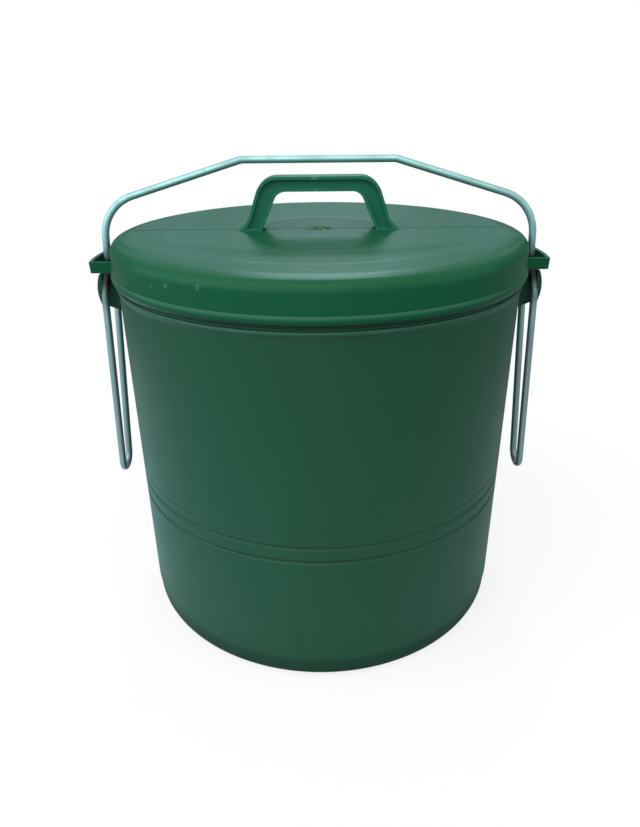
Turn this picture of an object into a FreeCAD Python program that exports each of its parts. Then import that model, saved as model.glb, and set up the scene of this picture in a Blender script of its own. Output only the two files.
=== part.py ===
import FreeCAD, Part
import math
import os
import re
import Sketcher
from FreeCAD import Placement, Rotation, Vector

# Kitchen compost bin: a moulded bucket, a captive moulded lid and a sliding wire bail.
# Millimetres, +Z up, origin at the centre of the base, X through the two ears.

# Driving dimensions
SIZES = {
    # Bucket: levels are heights above the surface that it stands on
    "base_radius": 132.0,
    "rim_radius": 137.0,
    "rim_level": 263.1,
    "bucket_wall": 2.4,
    "bead_below_rim": 21.4,
    "bead_height": 3.4,
    "bead_proud": 1.1,
    "base_round": 9.0,
    "base_inset": 0.7,
    "base_step": 15.8,
    "foot_width": 9.0,
    "foot_recess": 3.0,
    "floor_thickness": 3.0,
    "inner_round": 9.0,
    "band_low": 93.9,
    "band_middle": 104.2,
    "band_high": 112.8,
    "band_half_height": 1.3,
    "band_depth_low": 0.8,
    "band_depth_middle": 0.6,
    "band_depth_high": 0.4,
    # Ears of the bucket: a thin web with a curved lip at its outer end
    "ear_web": 2.2,
    "ear_rise": 0.3,
    "ear_height": 23.9,
    "ear_slant": 7.0,
    "ear_room": 3.9,
    "ear_lip": 1.9,
    "ear_lip_width": 11.6,
    "ear_lip_curve": 30.0,
    "ear_edge": 0.7,
    "ear_clearance": 0.3,
    # Lid
    "skirt_clearance": 0.8,
    "seat_clearance": 0.45,
    "lid_wall": 2.2,
    "lid_rise": 8.1,
    "lid_fall": 0.3,
    "skirt_height": 25.6,
    "shoulder_round": 10.5,
    "skirt_lip_height": 6.2,
    "skirt_lip_proud": 0.8,
    "skirt_lip_round": 2.4,
    "panel_radius": 105.6,
    "crease_width": 5.0,
    "crease_depth": 0.55,
    "gate_radius": 7.0,
    "gate_height": 0.7,
    # Loops on the lid's skirt
    "loop_height": 7.8,
    "loop_wall": 1.8,
    "loop_clearance": 1.1,
    "loop_room": 7.1,
    "loop_bow": 1.4,
    "loop_draft": 3.0,
    # Arched handle on the lid
    "handle_rise": 35.4,
    "handle_bar": 9.7,
    "handle_width": 15.0,
    "handle_web": 7.0,
    "handle_rim": 2.1,
    "handle_flat_half": 27.8,
    "handle_shoulder_half": 42.05,
    "handle_shoulder_drop": 10.2,
    "handle_ankle_half": 47.7,
    "handle_ankle_rise": 8.3,
    "handle_toe_half": 57.1,
    "handle_heel_half": 39.0,
    "handle_round": 15.0,
    "handle_inner_round": 8.0,
    "handle_inner_flat": 22.4,
    "handle_inner_half": 29.75,
    "handle_inner_drop": 4.9,
    "handle_toe_curve": 14.2,
    "handle_recess_toe_half": 49.5,
    "handle_foot_sink": 0.8,
    "handle_edge": 0.8,
    # Wire bail: slopes and the run of the wire's centre line
    "wire": 5.0,
    "bail_gap": 8.0,
    "bail_flat_half": 50.2,
    "bail_bend_round": 9.0,
    "bail_slope": 17.0,
    "bail_corner_round": 30.0,
    "leg_gap": 8.3,
    "leg_lean": 2.0,
    "eye_rise": 4.5,
    "eye_half": 13.5,
    "eye_shoulder": 25.0,
    "eye_slope": 35.0,
    "eye_neck_round": 6.0,
    "eye_shoulder_round": 8.0,
    "eye_bend": 9.0,
    "eye_drop": 155.0,
    "eye_overlap": 1.0,
}

# Formulas that several profiles share: each level and reach follows the piece that it sits on
BEAD_LEVEL = "(rim_level - bead_below_rim)"
WALL_SLOPE = f"((rim_radius - base_radius) / {BEAD_LEVEL})"
LID_RADIUS = "(rim_radius + skirt_clearance + lid_wall)"
LID_TOP = "(rim_level + lid_rise)"
LID_BOTTOM = f"({LID_TOP} - skirt_height)"
LID_UNDER = f"({LID_TOP} - lid_fall - lid_wall)"
# The conical seat clears the rim's outer corner by the seat clearance
SEAT_LEVEL = "(rim_level + seat_clearance - skirt_clearance)"
HANDLE_TOP = f"({LID_TOP} + handle_rise)"
HANDLE_UNDER = f"({HANDLE_TOP} - handle_bar)"
BAIL_TOP = f"({HANDLE_TOP} + bail_gap + wire / 2)"
LEG_REACH = f"({LID_RADIUS} + leg_gap)"
EYE_LEVEL = f"({LID_BOTTOM} + eye_rise)"
EYE_LENGTH = "(eye_drop + eye_bend)"
LOOP_INNER = "(eye_half + wire / 2 + loop_clearance)"
LOOP_HALF = f"({LOOP_INNER} + loop_wall)"
LOOP_CORNER = f"({LEG_REACH} + loop_room)"
LOOP_CURVE = f"(({LOOP_HALF}^2 + loop_bow^2) / (2 * loop_bow))"
SKIRT_MIDDLE = f"({LID_RADIUS} - lid_wall / 2)"
LOOP_ROOT = f"sqrt({SKIRT_MIDDLE}^2 - {LOOP_HALF}^2)"
EAR_ROOT = "(rim_radius - 0.6 * bucket_wall)"
EAR_INNER = f"({LEG_REACH} + ear_room)"
EAR_TOP = f"({BEAD_LEVEL} + ear_rise)"
EAR_LOW = f"({EAR_TOP} - ear_height)"
# Depth of the eye's inner apex below the eye level, where it is as wide as the ear's web
EYE_APEX = ("(eye_shoulder - (eye_shoulder_round - wire / 2"
            " + (eye_half - eye_shoulder_round - ear_web / 2) * cos(eye_slope)) / sin(eye_slope))")
EAR_WEB_TOP = f"({EYE_LEVEL} - {EYE_APEX} - ear_clearance)"


def wall_at(level):
    """Formula of the bucket's outer radius at a level below the bead."""
    return f"(base_radius + {WALL_SLOPE} * ({level}))"


def bound(formula):
    """The formula with each size named as a cell of the sheet."""
    return re.sub(r"[a-z_]+", lambda word: f"sizes.{word[0]}" if word[0] in SIZES else word[0], formula)


def make_sheet(doc):
    """Spreadsheet that holds the driving dimensions, one aliased cell each."""
    sheet = doc.addObject("Spreadsheet::Sheet", "sizes")
    for row, (name, value) in enumerate(SIZES.items(), start=1):
        sheet.set(f"A{row}", name)
        sheet.set(f"B{row}", str(value))
        sheet.setAlias(f"B{row}", name)
    doc.recompute()
    return sheet


def value_of(item, formula):
    """Number that a formula has now."""
    return float(item.evalExpression(bound(formula)))


def make_body(doc, label):
    """Empty body of one sub-part, labelled with its node's name."""
    body = doc.addObject("PartDesign::Body", label)
    body.Label = label
    return body


def origin_plane(body, role):
    """Origin plane of a body, by its role."""
    return next(item for item in body.Origin.OriginFeatures if item.Role == role)


def make_sketch(body, name, role, lift=None):
    """Sketch on an origin plane of its body, lifted off the plane by a formula."""
    sketch = body.newObject("Sketcher::SketchObject", name)
    sketch.AttachmentSupport = (origin_plane(body, role), [""])
    sketch.MapMode = "FlatFace"
    if lift:
        sketch.setExpression("AttachmentOffset.Base.z", bound(lift))
    return sketch


def fix(sketch, kind, references, formula, name):
    """Dimension of a sketch that follows a formula."""
    start = value_of(sketch, formula)
    if kind == "Angle":
        start = math.radians(start)
    index = sketch.addConstraint(Sketcher.Constraint(kind, *references, start))
    sketch.renameConstraint(index, name)
    sketch.setExpression(f"Constraints.{name}", bound(formula))


def fix_point(sketch, geometry, end, place, name):
    """Both coordinates of one point of a sketch, measured from its origin."""
    fix(sketch, "DistanceX", (-1, 1, geometry, end), place[0], name + "_x")
    fix(sketch, "DistanceY", (-1, 1, geometry, end), place[1], name + "_y")


def arc_between(start, end, radius, turn):
    """Short arc from start to end, turning left (+1) or right (-1)."""
    chord = end - start
    middle = (start + end) * 0.5
    height = math.sqrt(max(radius**2 - chord.Length**2 / 4.0, 0.0))
    left = Vector(-chord.y, chord.x, 0).normalize()
    centre = middle + left * (turn * height)
    first, last = (start, end) if turn > 0 else (end, start)
    angles = [math.atan2(point.y - centre.y, point.x - centre.x) for point in (first, last)]
    circle = Part.Circle(centre, Vector(0, 0, 1), radius)
    return Part.ArcOfCircle(circle, angles[0], angles[1])


def draw_outline(sketch, name, places, arcs=None):
    """Closed outline through bound places; arcs maps an edge's number to its radius and turn."""
    arcs = arcs or {}
    points = [Vector(value_of(sketch, x), value_of(sketch, y), 0) for x, y in places]
    ends = []
    for index, start in enumerate(points):
        end = points[(index + 1) % len(points)]
        if index in arcs:
            radius, turn = arcs[index]
            edge = sketch.addGeometry(arc_between(start, end, value_of(sketch, radius), turn))
            ends.append((edge, 1, 2) if turn > 0 else (edge, 2, 1))
        else:
            edge = sketch.addGeometry(Part.LineSegment(start, end))
            ends.append((edge, 1, 2))
    for index, (edge, first, _) in enumerate(ends):
        before, _, last = ends[index - 1]
        sketch.addConstraint(Sketcher.Constraint("Coincident", before, last, edge, first))
        fix_point(sketch, edge, first, places[index], f"{name}_{index}")
    for index, (radius, _) in arcs.items():
        fix(sketch, "Radius", (ends[index][0],), radius, f"{name}_{index}_radius")


def draw_circle(sketch, centre, radius):
    """Bound circle for a wire's section."""
    place = Vector(value_of(sketch, centre[0]), value_of(sketch, centre[1]), 0)
    circle = sketch.addGeometry(Part.Circle(place, Vector(0, 0, 1), value_of(sketch, radius)))
    fix_point(sketch, circle, 3, centre, "centre")
    fix(sketch, "Radius", (circle,), radius, "section_radius")


def revolve(body, sketch, name, kind="Revolution"):
    """Full turn of a profile about Z, added or cut away."""
    feature = body.newObject(f"PartDesign::{kind}", name)
    feature.Profile = sketch
    feature.ReferenceAxis = (sketch, ["V_Axis"])
    feature.Angle = 360.0
    body.Document.recompute()
    return feature


def pad(body, sketch, name, length, symmetric=False, draft=None):
    """Prism of an outline, to one side of its sketch or to both."""
    feature = body.newObject("PartDesign::Pad", name)
    feature.Profile = sketch
    feature.setExpression("Length", bound(length))
    if symmetric:
        feature.SideType = "Symmetric"
    if draft:
        feature.setExpression("TaperAngle", bound(draft))
    body.Document.recompute()
    return feature


def mirror(body, name, role, originals):
    """The features repeated on the other side of an origin plane."""
    feature = body.newObject("PartDesign::Mirrored", name)
    feature.Originals = originals
    feature.MirrorPlane = (origin_plane(body, role), [""])
    body.Tip = feature
    body.Document.recompute()
    return feature


def round_edges(body, base, name, radius, chosen):
    """Fillet on the edges of a feature for which chosen says yes."""
    names = [f"Edge{i}" for i, edge in enumerate(base.Shape.Edges, start=1) if chosen(edge)]
    feature = body.newObject("PartDesign::Fillet", name)
    feature.Base = (base, names)
    feature.setExpression("Radius", bound(radius))
    body.Tip = feature
    body.Document.recompute()
    return feature


# Bucket

def bucket_profile(sketch):
    """Half section of the bucket: foot ring, rounded base, tapered wall, bead and plain rim."""
    base = "(base_radius - base_inset)"
    bead_low = f"{BEAD_LEVEL} - bead_height / 2"
    bead_high = f"{BEAD_LEVEL} + bead_height / 2"
    bead_curve = "(bead_height^2 / 4 + bead_proud^2) / (2 * bead_proud)"
    floor_top = "(foot_recess + floor_thickness)"
    corner = wall_at(f"{floor_top} + inner_round") + " - bucket_wall"
    places = [
        ("0", "foot_recess"),
        (f"{base} - base_round - foot_width", "foot_recess"),
        (f"{base} - base_round - foot_width", "0"),
        (f"{base} - base_round", "0"),
        (base, "base_round"),
        (base, "base_step"),
        (wall_at("base_step + base_inset"), "base_step + base_inset"),
        (wall_at(bead_low), bead_low),
        (wall_at(bead_low), bead_high),
        ("rim_radius", bead_high),
        ("rim_radius", "rim_level"),
        ("rim_radius - bucket_wall", "rim_level"),
        ("rim_radius - bucket_wall", BEAD_LEVEL),
        (corner, f"{floor_top} + inner_round"),
        (f"{corner} - inner_round", floor_top),
        ("0", floor_top),
    ]
    arcs = {3: ("base_round", 1), 7: (bead_curve, 1), 13: ("inner_round", -1)}
    draw_outline(sketch, "section", places, arcs)


def band_profile(sketch):
    """Three fine grooves round the lower wall, each a notch of its own depth."""
    for name in ("low", "middle", "high"):
        level = f"band_{name}"
        outside = wall_at(level) + " + 0.5 * bucket_wall"
        places = [
            (wall_at(level) + f" - band_depth_{name}", level),
            (outside, f"{level} - band_half_height"),
            (outside, f"{level} + band_half_height"),
        ]
        draw_outline(sketch, name, places)


def build_bucket(doc):
    """Bucket with its two hooked ears."""
    body = make_body(doc, "bucket")
    section = make_sketch(body, "bucket_section", "XZ_Plane")
    bucket_profile(section)
    shell = revolve(body, section, "bucket_shell")
    bands = make_sketch(body, "band_notches", "XZ_Plane")
    band_profile(bands)
    before = shell.Shape.Volume
    grooves = revolve(body, bands, "band_grooves", "Groove")
    if not grooves.Shape.Volume < before:
        raise RuntimeError("the band grooves cut nothing")
    web = make_sketch(body, "ear_web_outline", "XZ_Plane")
    draw_outline(web, "web", [
        (EAR_ROOT, f"{EAR_LOW} - ear_slant"),
        (f"{EAR_INNER} + 0.5 * ear_lip", EAR_LOW),
        (f"{EAR_INNER} + 0.5 * ear_lip", EAR_WEB_TOP),
        (EAR_ROOT, EAR_WEB_TOP),
    ])
    web_pad = pad(body, web, "ear_web_plate", "ear_web", symmetric=True)
    lip = make_sketch(body, "ear_lip_outline", "XZ_Plane")
    draw_outline(lip, "lip", [
        (EAR_INNER, EAR_LOW),
        (f"{EAR_INNER} + ear_lip", EAR_LOW),
        (f"{EAR_INNER} + ear_lip", EAR_TOP),
        (EAR_INNER, EAR_TOP),
    ], {1: ("ear_lip_curve", 1)})
    lip_pad = pad(body, lip, "ear_lip_plate", "ear_lip_width", symmetric=True)
    both = mirror(body, "other_ear", "YZ_Plane", [web_pad, lip_pad])
    outer = value_of(body, f"{EAR_INNER} + ear_lip") - 0.01
    round_edges(body, both, "ear_edges", "ear_edge",
                lambda edge: all(abs(corner.X) > outer for corner in edge.Vertexes))
    return body


# Lid

def lid_profile(sketch):
    """Half section of the lid: gate mark, panel, crease, shoulder, skirt, lip and conical seat."""
    skirt_in = "(rim_radius + skirt_clearance)"
    lip_out = f"({LID_RADIUS} + skirt_lip_proud)"
    edge = f"({LID_TOP} - lid_fall)"
    seat_run = f"({LID_UNDER} - {SEAT_LEVEL})"
    places = [
        ("0", f"{LID_TOP} + gate_height"),
        ("0", LID_UNDER),
        (f"{skirt_in} - {seat_run}", LID_UNDER),
        (skirt_in, SEAT_LEVEL),
        (skirt_in, LID_BOTTOM),
        (f"{lip_out} - skirt_lip_round", LID_BOTTOM),
        (lip_out, f"{LID_BOTTOM} + skirt_lip_round"),
        (lip_out, f"{LID_BOTTOM} + skirt_lip_height - skirt_lip_proud"),
        (LID_RADIUS, f"{LID_BOTTOM} + skirt_lip_height"),
        (LID_RADIUS, f"{edge} - shoulder_round"),
        (f"{LID_RADIUS} - shoulder_round", edge),
        ("panel_radius + crease_width", f"{edge} + 0.4 * lid_fall"),
        ("panel_radius + 0.5 * crease_width", f"{edge} - 0.5 * crease_depth"),
        ("panel_radius", LID_TOP),
        ("gate_radius", LID_TOP),
        ("gate_radius", f"{LID_TOP} + gate_height"),
    ]
    arcs = {5: ("skirt_lip_round", 1), 9: ("shoulder_round", 1)}
    draw_outline(sketch, "section", places, arcs)


def handle_outline(sketch):
    """Arch of the lid's handle: rounded corners, splayed legs and flared toes."""
    base = f"({LID_TOP} - handle_foot_sink)"
    half = [
        ("handle_toe_half", base),
        ("handle_ankle_half", f"{LID_TOP} + handle_ankle_rise"),
        ("handle_shoulder_half", f"{HANDLE_TOP} - handle_shoulder_drop"),
        ("handle_flat_half", HANDLE_TOP),
    ]
    inner = [
        ("handle_inner_flat", HANDLE_UNDER),
        ("handle_inner_half", f"{HANDLE_UNDER} - handle_inner_drop"),
        ("handle_heel_half", base),
    ]
    opposite = [(f"-({x})", y) for x, y in reversed(half)]
    inner_opposite = [(f"-({x})", y) for x, y in reversed(inner)]
    places = half + opposite + inner_opposite + inner
    toe = ("handle_toe_curve", -1)
    corner = ("handle_round", 1)
    inside = ("handle_inner_round", -1)
    draw_outline(sketch, "arch", places, {0: toe, 2: corner, 4: corner, 6: toe, 9: inside, 11: inside})


def handle_recess(sketch):
    """Recess in the handle's face, a rim's width inside the arch and open to the lid's top."""
    base = f"({LID_TOP} + 2 * gate_height)"
    half = [
        ("handle_recess_toe_half", base),
        ("handle_ankle_half - 0.948 * handle_rim", f"{LID_TOP} + handle_ankle_rise - 0.317 * handle_rim"),
        ("handle_shoulder_half - 0.948 * handle_rim",
         f"{HANDLE_TOP} - handle_shoulder_drop - 0.317 * handle_rim"),
        ("handle_flat_half", f"{HANDLE_TOP} - handle_rim"),
    ]
    inner = [
        ("handle_inner_flat", f"{HANDLE_UNDER} + handle_rim"),
        ("handle_inner_half + 0.922 * handle_rim", f"{HANDLE_UNDER} - handle_inner_drop + 0.388 * handle_rim"),
        ("handle_heel_half + 0.6 * handle_rim", base),
    ]
    opposite = [(f"-({x})", y) for x, y in reversed(half)]
    inner_opposite = [(f"-({x})", y) for x, y in reversed(inner)]
    places = half + opposite + inner_opposite + inner
    toe = ("handle_toe_curve + handle_rim", -1)
    corner = ("handle_round - handle_rim", 1)
    inside = ("handle_inner_round + handle_rim", -1)
    draw_outline(sketch, "recess", places, {0: toe, 2: corner, 4: corner, 6: toe, 9: inside, 11: inside})


def loop_outline(sketch):
    """Outside of a side loop: a tongue on the skirt with a bowed outer edge."""
    draw_outline(sketch, "tongue", [
        (LOOP_ROOT, f"-{LOOP_HALF}"),
        (LOOP_CORNER, f"-{LOOP_HALF}"),
        (LOOP_CORNER, LOOP_HALF),
        (LOOP_ROOT, LOOP_HALF),
    ], {1: (LOOP_CURVE, 1), 3: (SKIRT_MIDDLE, -1)})


def loop_opening(sketch):
    """Inside of a side loop, from the skirt's lip to the loop's wall: the bail's eye passes through it."""
    lip = f"({LID_RADIUS} + skirt_lip_proud + 0.2)"
    root = f"sqrt({lip}^2 - {LOOP_INNER}^2)"
    wall = f"{LOOP_CORNER} - loop_wall"
    draw_outline(sketch, "opening", [
        (root, LOOP_INNER),
        (root, f"-{LOOP_INNER}"),
        (wall, f"-{LOOP_INNER}"),
        (wall, LOOP_INNER),
    ], {0: (lip, -1), 2: (LOOP_CURVE, 1)})


def cut(body, sketch, name, length, reverse=False):
    """Pocket with an outline, which has to take material away."""
    before = body.Tip.Shape.Volume
    feature = body.newObject("PartDesign::Pocket", name)
    feature.Profile = sketch
    feature.setExpression("Length", bound(length))
    feature.Reversed = reverse
    body.Document.recompute()
    if not feature.Shape.Volume < before:
        raise RuntimeError(f"{name} cuts nothing")
    return feature


def build_lid(doc):
    """Lid with its two side loops and its arched handle."""
    body = make_body(doc, "lid")
    section = make_sketch(body, "lid_section", "XZ_Plane")
    lid_profile(section)
    revolve(body, section, "lid_shell")
    tongue = make_sketch(body, "loop_outline", "XY_Plane", LID_BOTTOM)
    loop_outline(tongue)
    loop = pad(body, tongue, "loop", "loop_height", draft="loop_draft")
    opening = make_sketch(body, "loop_opening_outline", "XY_Plane", LID_BOTTOM)
    loop_opening(opening)
    hole = cut(body, opening, "loop_opening", "2 * loop_height", reverse=True)
    mirror(body, "other_loop", "YZ_Plane", [loop, hole])
    arch = make_sketch(body, "handle_outline", "XZ_Plane")
    handle_outline(arch)
    handle = pad(body, arch, "handle", "handle_width", symmetric=True)
    side = value_of(body, "handle_width / 2") - 0.01
    round_edges(body, handle, "handle_edges", "handle_edge",
                lambda edge: all(abs(corner.Y) > side and abs(corner.X) < 2 * value_of(body, "handle_toe_half")
                                 for corner in edge.Vertexes)
                and edge.BoundBox.ZMax > value_of(body, LID_TOP) + 0.5)
    recess = make_sketch(body, "handle_recess_outline", "XZ_Plane", "0.5 * handle_web")
    handle_recess(recess)
    pocket = cut(body, recess, "handle_recess", "handle_width", reverse=True)
    mirror(body, "other_handle_recess", "XZ_Plane", [pocket])
    return body


# Bail

def link_up(sketch, pairs):
    """Smooth joints along a path: each pair of edge ends meets and is tangent."""
    for pair in pairs:
        sketch.addConstraint(Sketcher.Constraint("Tangent", *pair))


def arch_path(sketch):
    """Half of the bail's arch, from the middle of its flat top down one leg to the eye."""
    top = value_of(sketch, BAIL_TOP)
    flat = value_of(sketch, "bail_flat_half")
    slope = math.radians(value_of(sketch, "bail_slope"))
    lean = math.radians(value_of(sketch, "leg_lean"))
    bend = value_of(sketch, "bail_bend_round")
    corner = value_of(sketch, "bail_corner_round")
    foot = Vector(value_of(sketch, LEG_REACH), value_of(sketch, EYE_LEVEL), 0)
    bend_centre = Vector(flat, top - bend, 0)
    bend_end = bend_centre + Vector(math.sin(slope), math.cos(slope), 0) * bend
    leg_up = Vector(-math.sin(lean), math.cos(lean), 0)
    vertex = Vector(foot.x, top - (foot.x - flat) * math.tan(slope), 0)
    reach = corner * math.tan((math.pi / 2 - slope - lean) / 2)
    corner_start = vertex + Vector(-math.cos(slope), math.sin(slope), 0) * reach
    leg_top = vertex - leg_up * reach
    corner_centre = leg_top - Vector(math.cos(lean), math.sin(lean), 0) * corner
    flat_line = sketch.addGeometry(Part.LineSegment(Vector(0, top, 0), Vector(flat, top, 0)))
    bend_arc = sketch.addGeometry(Part.ArcOfCircle(
        Part.Circle(bend_centre, Vector(0, 0, 1), bend), math.pi / 2 - slope, math.pi / 2))
    shoulder = sketch.addGeometry(Part.LineSegment(bend_end, corner_start))
    corner_arc = sketch.addGeometry(Part.ArcOfCircle(
        Part.Circle(corner_centre, Vector(0, 0, 1), corner), lean, math.pi / 2 - slope))
    leg = sketch.addGeometry(Part.LineSegment(leg_top, foot))
    link_up(sketch, [
        (flat_line, 2, bend_arc, 2),
        (bend_arc, 1, shoulder, 1),
        (shoulder, 2, corner_arc, 2),
        (corner_arc, 1, leg, 1),
    ])
    sketch.addConstraint(Sketcher.Constraint("Horizontal", flat_line))
    fix_point(sketch, flat_line, 1, ("0", BAIL_TOP), "middle")
    fix(sketch, "DistanceX", (-1, 1, flat_line, 2), "bail_flat_half", "flat_half")
    fix(sketch, "Radius", (bend_arc,), "bail_bend_round", "bend_radius")
    fix(sketch, "Radius", (corner_arc,), "bail_corner_round", "corner_radius")
    fix(sketch, "Angle", (-1, 1, shoulder, 1), "-bail_slope", "slope")
    fix(sketch, "Angle", (-1, 1, leg, 2), "90 + leg_lean", "lean")
    fix_point(sketch, leg, 2, (LEG_REACH, EYE_LEVEL), "foot")


def eye_sketch(body, name):
    """Sketch in the plane of one eye: it holds the Y axis and the leaning leg, from the leg's foot."""
    sketch = make_sketch(body, name, "YZ_Plane")
    sketch.AttachmentOffset = Placement(Vector(0, 0, 0), Rotation(Vector(-1, 0, 0), 1.0))
    sketch.setExpression("AttachmentOffset.Base.y", bound(EYE_LEVEL))
    sketch.setExpression("AttachmentOffset.Base.z", bound(LEG_REACH))
    sketch.setExpression("AttachmentOffset.Rotation.Angle", bound("leg_lean"))
    body.Document.recompute()
    return sketch


def eye_path(sketch, side):
    """Half of an eye from its lowest point, up one leg and in at the shoulder to the bail's leg."""
    half = value_of(sketch, "eye_half")
    shoulder = -value_of(sketch, "eye_shoulder")
    slope = math.radians(value_of(sketch, "eye_slope"))
    bend = value_of(sketch, "eye_bend")
    drop = -value_of(sketch, "eye_drop")
    upper = value_of(sketch, "eye_shoulder_round")
    neck = value_of(sketch, "eye_neck_round")
    flat = Vector(0, 0, 1)
    quarter = (math.pi, 1.5 * math.pi) if side < 0 else (1.5 * math.pi, 2 * math.pi)
    shoulder_turn = (math.pi - slope, math.pi) if side < 0 else (0.0, slope)
    shoulder_end = Vector(side * (half - upper * (1 - math.cos(slope))), shoulder + upper * math.sin(slope), 0)
    neck_foot = Vector(side * neck * (1 - math.cos(slope)), shoulder_end.y + 8.0, 0)
    bottom = sketch.addGeometry(Part.ArcOfCircle(Part.Circle(Vector(0, drop, 0), flat, bend), *quarter))
    leg = sketch.addGeometry(Part.LineSegment(Vector(side * bend, drop, 0), Vector(side * half, shoulder, 0)))
    shoulder_arc = sketch.addGeometry(Part.ArcOfCircle(
        Part.Circle(Vector(side * (half - upper), shoulder, 0), flat, upper), *shoulder_turn))
    incline = sketch.addGeometry(Part.LineSegment(shoulder_end, neck_foot))
    out, back = (1, 2) if side < 0 else (2, 1)
    link_up(sketch, [
        (bottom, out, leg, 1),
        (leg, 2, shoulder_arc, back),
        (shoulder_arc, out, incline, 1),
    ])
    sketch.addConstraint(Sketcher.Constraint("PointOnObject", bottom, back, -2))
    sketch.addConstraint(Sketcher.Constraint("PointOnObject", bottom, 3, -2))
    fix(sketch, "DistanceY", (-1, 1, bottom, 3), "-eye_drop", "drop")
    fix(sketch, "Radius", (bottom,), "eye_bend", "bend_radius")
    fix(sketch, "Radius", (shoulder_arc,), "eye_shoulder_round", "shoulder_radius")
    sign = "-" if side < 0 else ""
    fix_point(sketch, leg, 2, (f"{sign}eye_half", "-eye_shoulder"), "shoulder")
    return incline


def finish_front_path(sketch, incline):
    """Neck of the eye's front half: it turns up into the bail's leg at the sketch's origin."""
    slope = math.radians(value_of(sketch, "eye_slope"))
    neck = value_of(sketch, "eye_neck_round")
    start = sketch.Geometry[incline].EndPoint
    centre = Vector(-neck, start.y + neck * math.sin(slope), 0)
    neck_arc = sketch.addGeometry(Part.ArcOfCircle(Part.Circle(centre, Vector(0, 0, 1), neck), -slope, 0.0))
    stem = sketch.addGeometry(Part.LineSegment(Vector(0, centre.y, 0), Vector(0, 0, 0)))
    link_up(sketch, [(incline, 2, neck_arc, 1), (neck_arc, 2, stem, 1)])
    fix(sketch, "Angle", (-2, 1, incline, 1), "-eye_slope", "slope")
    fix(sketch, "Radius", (neck_arc,), "eye_neck_round", "neck_radius")
    fix_point(sketch, stem, 2, ("0", "0"), "stem_end")
    sketch.addConstraint(Sketcher.Constraint("Vertical", stem))


def finish_rear_path(sketch, incline):
    """End of the wire: the rear half's incline stops beside the bail's leg, where it is welded."""
    fix(sketch, "Angle", (-2, 1, incline, 1), "eye_slope", "slope")
    fix(sketch, "DistanceX", (-1, 1, incline, 2), "wire / 2 - eye_overlap", "wire_end")


def sweep(body, name, section, path):
    """Wire along a path."""
    feature = body.newObject("PartDesign::AdditivePipe", name)
    feature.Profile = section
    feature.Spine = path
    body.Tip = feature
    body.Document.recompute()
    return feature


def build_bail(doc):
    """Bail: arch, and at each end a closed eye that rides on an ear."""
    body = make_body(doc, "bail")
    arch = make_sketch(body, "arch_path", "XZ_Plane")
    arch_path(arch)
    top_section = make_sketch(body, "arch_section", "YZ_Plane")
    draw_circle(top_section, ("0", BAIL_TOP), "0.5 * wire")
    arch_wire = sweep(body, "arch_wire", top_section, arch)
    low_x = f"{LEG_REACH} + {EYE_LENGTH} * sin(leg_lean)"
    low_z = f"{EYE_LEVEL} - {EYE_LENGTH} * cos(leg_lean)"
    halves = []
    for name, side, finish in (("front", -1, finish_front_path), ("rear", 1, finish_rear_path)):
        path = eye_sketch(body, f"eye_{name}_path")
        finish(path, eye_path(path, side))
        section = make_sketch(body, f"eye_{name}_section", "XZ_Plane")
        draw_circle(section, (low_x, low_z), "0.5 * wire")
        halves.append(sweep(body, f"eye_{name}_wire", section, path))
    mirror(body, "other_side", "YZ_Plane", [arch_wire, *halves])
    return body


def check_document(doc):
    """Stop if any object of the document failed."""
    for item in doc.Objects:
        if "Invalid" in item.State or "Error" in item.State:
            raise RuntimeError(f"{item.Label} failed: {item.State}")


def write_parts(bodies):
    """Write each sub-part's solid to its own file."""
    for body in bodies:
        shape = body.Shape
        if shape.isNull() or not shape.isValid() or len(shape.Solids) != 1:
            raise RuntimeError(f"{body.Label} is not one valid solid")
    os.makedirs("parts", exist_ok=True)
    for body in bodies:
        body.Shape.exportStep(f"parts/{body.Label}.step")
        print(body.Label, f"{body.Shape.Volume / 1000:.1f} cm3", body.Shape.BoundBox)


def main():
    """Build the three pieces and write them."""
    doc = FreeCAD.newDocument("compost_bin")
    make_sheet(doc)
    bodies = [build_bucket(doc), build_lid(doc), build_bail(doc)]
    doc.recompute()
    check_document(doc)
    write_parts(bodies)


main()
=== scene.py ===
"""Looks of a kitchen compost bin: a green moulded bucket, a captive green lid and a sliding wire bail."""

import logging
from dataclasses import dataclass, replace
from enum import Enum
from math import atan2, ceil, copysign, cos, degrees, pi, radians, sin, sqrt, tan
from typing import NamedTuple

import bmesh
import bpy
from mathutils import Euler, Matrix, Vector, noise


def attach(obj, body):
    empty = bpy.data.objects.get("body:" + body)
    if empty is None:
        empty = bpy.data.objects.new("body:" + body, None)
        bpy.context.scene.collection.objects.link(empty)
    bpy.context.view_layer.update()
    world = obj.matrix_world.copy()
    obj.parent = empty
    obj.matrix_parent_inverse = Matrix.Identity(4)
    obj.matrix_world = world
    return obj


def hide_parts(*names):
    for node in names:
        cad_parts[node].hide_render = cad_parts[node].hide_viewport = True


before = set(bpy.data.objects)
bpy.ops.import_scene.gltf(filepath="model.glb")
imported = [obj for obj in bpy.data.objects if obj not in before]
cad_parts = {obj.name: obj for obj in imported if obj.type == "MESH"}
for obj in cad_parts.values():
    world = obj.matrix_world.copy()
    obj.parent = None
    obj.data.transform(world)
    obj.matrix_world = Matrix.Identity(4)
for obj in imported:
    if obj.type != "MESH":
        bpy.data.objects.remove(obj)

LOG = logging.getLogger("compost_bin")
Point = tuple[float, float]
Colour = tuple[float, float, float]
Mark = tuple[float, float, float]
Inputs = dict[str | int, object]
Socket = bpy.types.NodeSocket
Material = bpy.types.Material
Piece = bpy.types.Object
Row = list[bmesh.types.BMVert]

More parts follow.
